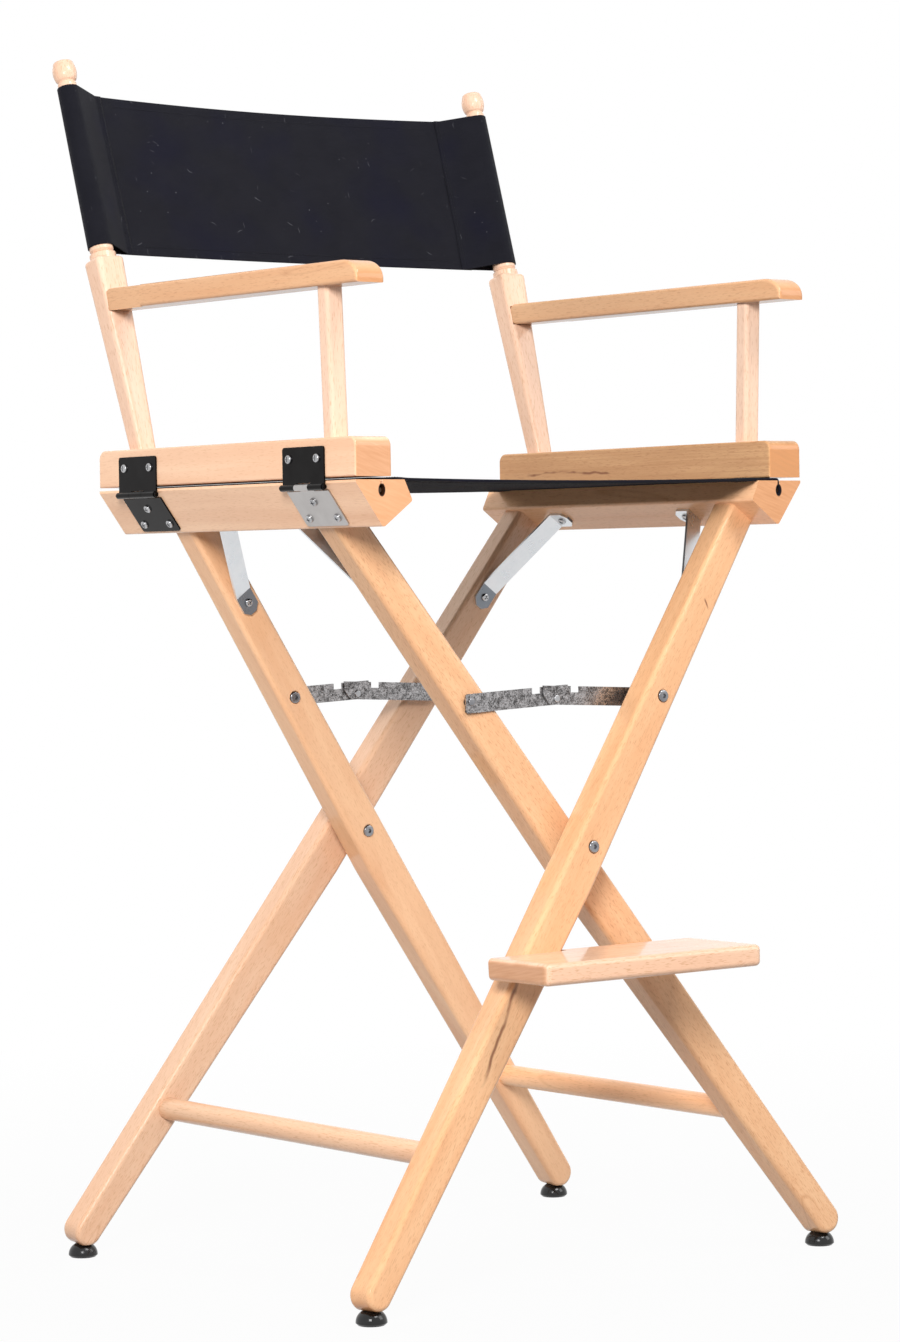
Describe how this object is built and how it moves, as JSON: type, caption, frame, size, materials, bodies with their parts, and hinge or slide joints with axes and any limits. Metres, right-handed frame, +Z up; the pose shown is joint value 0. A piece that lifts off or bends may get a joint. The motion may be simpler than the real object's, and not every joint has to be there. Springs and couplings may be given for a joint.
{
  "type": "folding chair",
  "caption": "Tall folding director's chair with a scissor frame of beech, hinged arms, a footrest board and a canvas seat and back.",
  "frame": {"origin": "on the floor under the scissor pivots, in the middle of the chair", "axes": "+Z up, -Y to the chair's front, +X to the right as seen from the front"},
  "size_m": [0.6121, 0.6165, 1.1967],
  "materials": {
    "beech": "satin lacquer",
    "canvas": "woven cotton canvas",
    "hinge_plate": "polished nickel",
    "fastener": "bright plated",
    "brace_strip": "mottled galvanised",
    "stay_strip": "bright zinc",
    "glide": "glossy",
    "spacer": "matte",
    "rod": "plain"
  },
  "bodies": {
    "outer_frame": {"outer_front_leg": "beech", "outer_rear_leg": "beech", "outer_front_stay": "stay_strip", "outer_rear_stay": "stay_strip", "outer_front_foot": "glide", "outer_rear_foot": "glide", "outer_stretcher": "beech", "outer_stay_screws": "fastener", "outer_brace_bolts": "fastener", "right_seat_rail": "beech", "right_seat_dowel": "rod", "right_front_lower_leaf": "hinge_plate", "right_rear_lower_leaf": "hinge_plate", "right_lower_leaf_screws": "fastener", "pivot_bolts": "fastener", "pivot_nuts": "fastener", "pivot_spacers": "spacer", "footrest_board": "beech", "footrest_screws": "fastener", "seat_canvas": "canvas"},
    "inner_frame": {"inner_front_leg": "beech", "inner_rear_leg": "beech", "inner_front_stay": "stay_strip", "inner_rear_stay": "stay_strip", "inner_front_foot": "glide", "inner_rear_foot": "glide", "inner_stretcher": "beech", "inner_stay_screws": "fastener", "inner_brace_bolts": "fastener", "left_seat_rail": "beech", "left_seat_dowel": "rod", "left_front_lower_leaf": "hinge_plate", "left_rear_lower_leaf": "hinge_plate", "left_lower_leaf_screws": "fastener"},
    "left_arm": {"left_arm_rail": "beech", "left_back_post": "beech", "left_arm_post": "beech", "left_armrest": "beech", "left_hinge_pins": "hinge_plate", "left_upper_leaf_screws": "fastener", "left_front_upper_leaf": "hinge_plate", "left_rear_upper_leaf": "hinge_plate"},
    "right_arm": {"right_arm_rail": "beech", "right_back_post": "beech", "right_arm_post": "beech", "right_armrest": "beech", "right_hinge_pins": "hinge_plate", "right_upper_leaf_screws": "fastener", "right_front_upper_leaf": "hinge_plate", "right_rear_upper_leaf": "hinge_plate", "back_canvas": "canvas"},
    "outer_front_brace": {"outer_front_link": "brace_strip", "front_brace_rivet": "fastener"},
    "outer_rear_brace": {"outer_rear_link": "brace_strip", "rear_brace_rivet": "fastener"},
    "inner_front_brace": {"inner_front_link": "brace_strip"},
    "inner_rear_brace": {"inner_rear_link": "brace_strip"}
  },
  "joints": [
    {"name": "fold", "type": "hinge", "parent": "outer_frame", "child": "inner_frame", "pos_m": [0, 0, 0.414], "axis": [0, 1, 0], "range_deg": [0, 56], "deforming": ["seat_canvas", "back_canvas"]},
    {"name": "left_arm_hinge", "type": "hinge", "parent": "inner_frame", "child": "left_arm", "pos_m": [-0.27617, 0, 0.75648], "axis": [0, 1, 0], "range_deg": [-28, 0]},
    {"name": "right_arm_hinge", "type": "hinge", "parent": "outer_frame", "child": "right_arm", "pos_m": [0.27617, 0, 0.75648], "axis": [0, 1, 0], "range_deg": [0, 28]},
    {"name": "outer_front_brace_pivot", "type": "hinge", "parent": "outer_frame", "child": "outer_front_brace", "pos_m": [0.10241, 0, 0.55393], "axis": [0, 1, 0], "range_deg": [0, 105]},
    {"name": "inner_front_brace_pivot", "type": "hinge", "parent": "inner_frame", "child": "inner_front_brace", "pos_m": [-0.10241, 0, 0.55393], "axis": [0, 1, 0], "range_deg": [-105, 0]},
    {"name": "outer_rear_brace_pivot", "type": "hinge", "parent": "outer_frame", "child": "outer_rear_brace", "pos_m": [0.10241, 0, 0.55393], "axis": [0, 1, 0], "range_deg": [0, 105]},
    {"name": "inner_rear_brace_pivot", "type": "hinge", "parent": "inner_frame", "child": "inner_rear_brace", "pos_m": [-0.10241, 0, 0.55393], "axis": [0, 1, 0], "range_deg": [-105, 0]}
  ],
  "couplings": [
    {"joint": "left_arm_hinge", "follows": "fold", "ratio": -0.5},
    {"joint": "right_arm_hinge", "follows": "fold", "ratio": 0.5},
    {"joint": "outer_front_brace_pivot", "follows": "fold", "ratio": 1.8576},
    {"joint": "inner_front_brace_pivot", "follows": "fold", "ratio": -1.8576},
    {"joint": "outer_rear_brace_pivot", "follows": "fold", "ratio": 1.8576},
    {"joint": "inner_rear_brace_pivot", "follows": "fold", "ratio": -1.8576}
  ]
}
